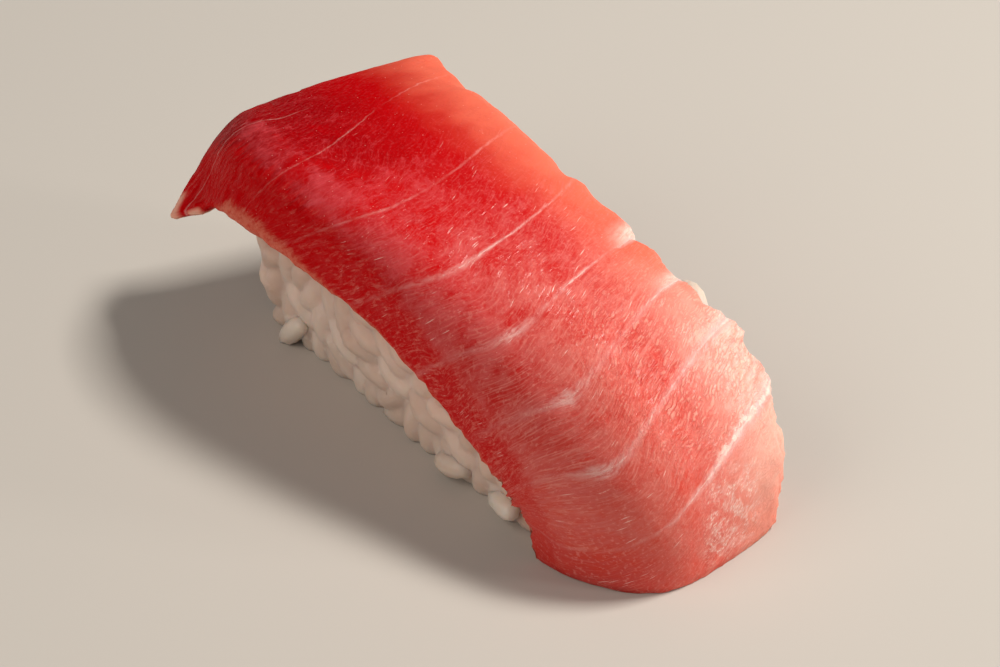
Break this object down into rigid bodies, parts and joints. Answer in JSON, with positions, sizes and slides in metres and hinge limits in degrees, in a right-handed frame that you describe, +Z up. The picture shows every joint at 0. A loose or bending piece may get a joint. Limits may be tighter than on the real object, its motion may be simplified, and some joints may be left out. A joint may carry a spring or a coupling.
{
  "type": "tuna nigiri",
  "caption": "Nigiri sushi: a thick slice of marbled raw tuna draped over a pressed oblong bed of sushi rice and folded down at one end.",
  "frame": {"origin": "on the board the piece rests on, under the middle of the rice bed", "axes": "+X along the slice towards the end that folds down to the board, +Z up, -Y the side where the rice shows most"},
  "size_m": [0.07, 0.0318, 0.0281],
  "materials": {
    "tuna": "raw tuna belly, deep red at one end shading to pale pink with milky sinew lines, moist and translucent",
    "rice": "cooked short-grain rice, warm white, sticky and slightly translucent"
  },
  "bodies": {
    "root": {"tuna_slice": "tuna", "rice_bed": "rice"}
  },
  "joints": []
}
